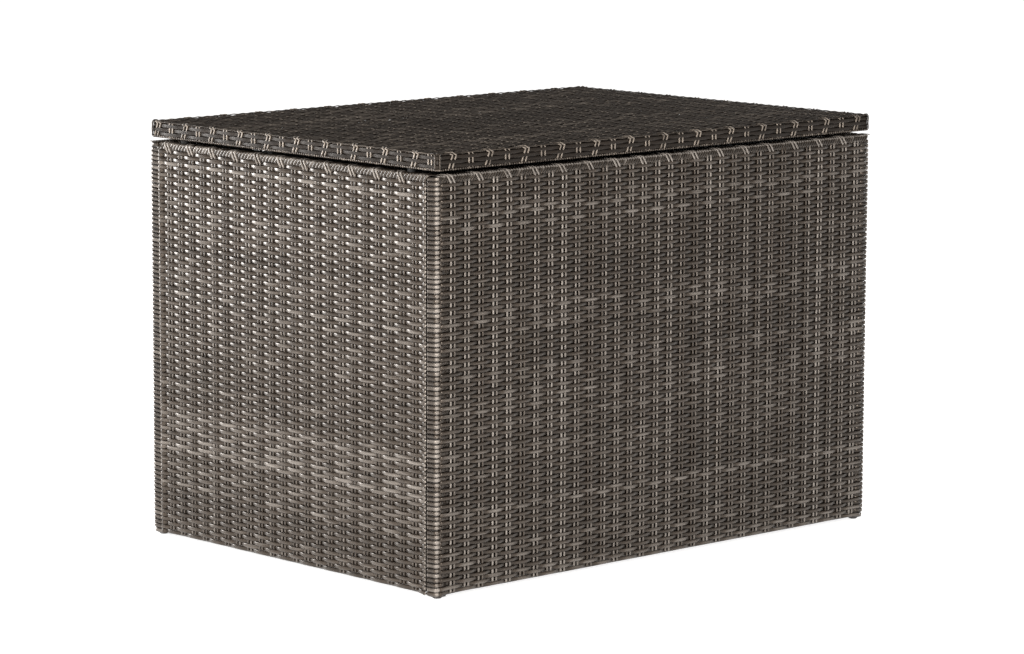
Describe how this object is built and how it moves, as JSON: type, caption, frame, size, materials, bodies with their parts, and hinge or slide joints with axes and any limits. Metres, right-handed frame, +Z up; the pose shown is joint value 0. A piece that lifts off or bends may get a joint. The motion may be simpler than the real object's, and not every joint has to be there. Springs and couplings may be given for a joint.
{
  "type": "deck storage box",
  "caption": "Woven garden storage box on a steel tube frame, with a flat hinged lid held by gas struts, a fabric liner and small plug feet.",
  "frame": {"origin": "on the ground under the middle of the box", "axes": "+X along the long side, +Y towards the hinges at the back, +Z up; the front is at -Y"},
  "size_m": [1.19, 0.86, 0.841],
  "materials": {
    "panel_wicker": "woven flat strand, satin, taupe with lighter and darker strands",
    "rim_wicker": "closely wound strand, satin taupe",
    "lid_wicker": "woven flat strand, satin dark taupe",
    "frame_steel": "dark brown powder coat, satin",
    "foot_plastic": "black moulded plastic",
    "liner_fabric": "coated black-grey woven polyester",
    "stud_plastic": "black moulded plastic",
    "bumper_rubber": "black rubber, matt",
    "strut_black": "black stove enamel, gloss",
    "strut_chrome": "polished hard-chromed rod",
    "socket_plastic": "black glass-filled plastic",
    "bracket_steel": "zinc-plated sheet steel",
    "hinge_steel": "zinc-plated steel",
    "fastener_steel": "zinc-plated steel"
  },
  "bodies": {
    "box": {"front_frame": "frame_steel", "back_frame": "frame_steel", "left_frame": "frame_steel", "right_frame": "frame_steel", "front_weave": "panel_wicker", "back_weave": "panel_wicker", "left_weave": "panel_wicker", "right_weave": "panel_wicker", "post_wrap_front_left": "panel_wicker", "post_wrap_front_right": "panel_wicker", "post_wrap_back_left": "panel_wicker", "post_wrap_back_right": "panel_wicker", "front_rim_binding": "rim_wicker", "back_rim_binding": "rim_wicker", "left_rim_binding": "rim_wicker", "right_rim_binding": "rim_wicker", "floor_frame": "frame_steel", "floor_weave": "panel_wicker", "foot_front_left": "foot_plastic", "foot_front_right": "foot_plastic", "foot_back_left": "foot_plastic", "foot_back_right": "foot_plastic", "corner_plates": "bracket_steel", "corner_bolts": "fastener_steel", "floor_bolts": "fastener_steel", "liner": "liner_fabric", "liner_studs": "stud_plastic", "hinge_left_body_leaf": "hinge_steel", "hinge_right_body_leaf": "hinge_steel", "hinge_left_pin": "hinge_steel", "hinge_right_pin": "hinge_steel", "hinge_body_screws": "fastener_steel", "strut_left_body_bracket": "bracket_steel", "strut_right_body_bracket": "bracket_steel", "strut_body_screws": "fastener_steel"},
    "lid": {"lid_frame": "frame_steel", "lid_top_weave": "lid_wicker", "lid_edge_weave": "lid_wicker", "lid_binding": "lid_wicker", "lid_bumpers": "bumper_rubber", "hinge_left_lid_leaf": "hinge_steel", "hinge_right_lid_leaf": "hinge_steel", "hinge_lid_screws": "fastener_steel", "strut_left_lid_bracket": "bracket_steel", "strut_right_lid_bracket": "bracket_steel", "strut_lid_screws": "fastener_steel"},
    "strut_left_lower": {"strut_left_rod": "strut_chrome", "strut_left_lower_socket": "socket_plastic"},
    "strut_left_upper": {"strut_left_tube": "strut_black", "strut_left_upper_socket": "socket_plastic"},
    "strut_right_lower": {"strut_right_rod": "strut_chrome", "strut_right_lower_socket": "socket_plastic"},
    "strut_right_upper": {"strut_right_tube": "strut_black", "strut_right_upper_socket": "socket_plastic"}
  },
  "joints": [
    {"name": "lid_hinge", "type": "hinge", "parent": "box", "child": "lid", "pos_m": [0, 0.4255, 0.8045], "axis": [-1, 0, 0], "range_deg": [0, 75]},
    {"name": "strut_left_swing", "type": "hinge", "parent": "box", "child": "strut_left_lower", "pos_m": [-0.542, 0.3405, 0.7445], "axis": [-1, 0, 0], "range_deg": [0, 77.4]},
    {"name": "strut_left_slide", "type": "slide", "parent": "strut_left_lower", "child": "strut_left_upper", "axis": [0, -0.9833, 0.182], "range_m": [0, 0.1262]},
    {"name": "strut_right_swing", "type": "hinge", "parent": "box", "child": "strut_right_lower", "pos_m": [0.542, 0.3405, 0.7445], "axis": [-1, 0, 0], "range_deg": [0, 77.4]},
    {"name": "strut_right_slide", "type": "slide", "parent": "strut_right_lower", "child": "strut_right_upper", "axis": [0, -0.9833, 0.182], "range_m": [0, 0.1262]}
  ],
  "couplings": [
    {"joint": "strut_left_swing", "follows": "lid_hinge", "ratio": 1.0314},
    {"joint": "strut_left_slide", "follows": "lid_hinge", "m_per_rad": 0.096328},
    {"joint": "strut_right_swing", "follows": "lid_hinge", "ratio": 1.0314},
    {"joint": "strut_right_slide", "follows": "lid_hinge", "m_per_rad": 0.096328}
  ]
}
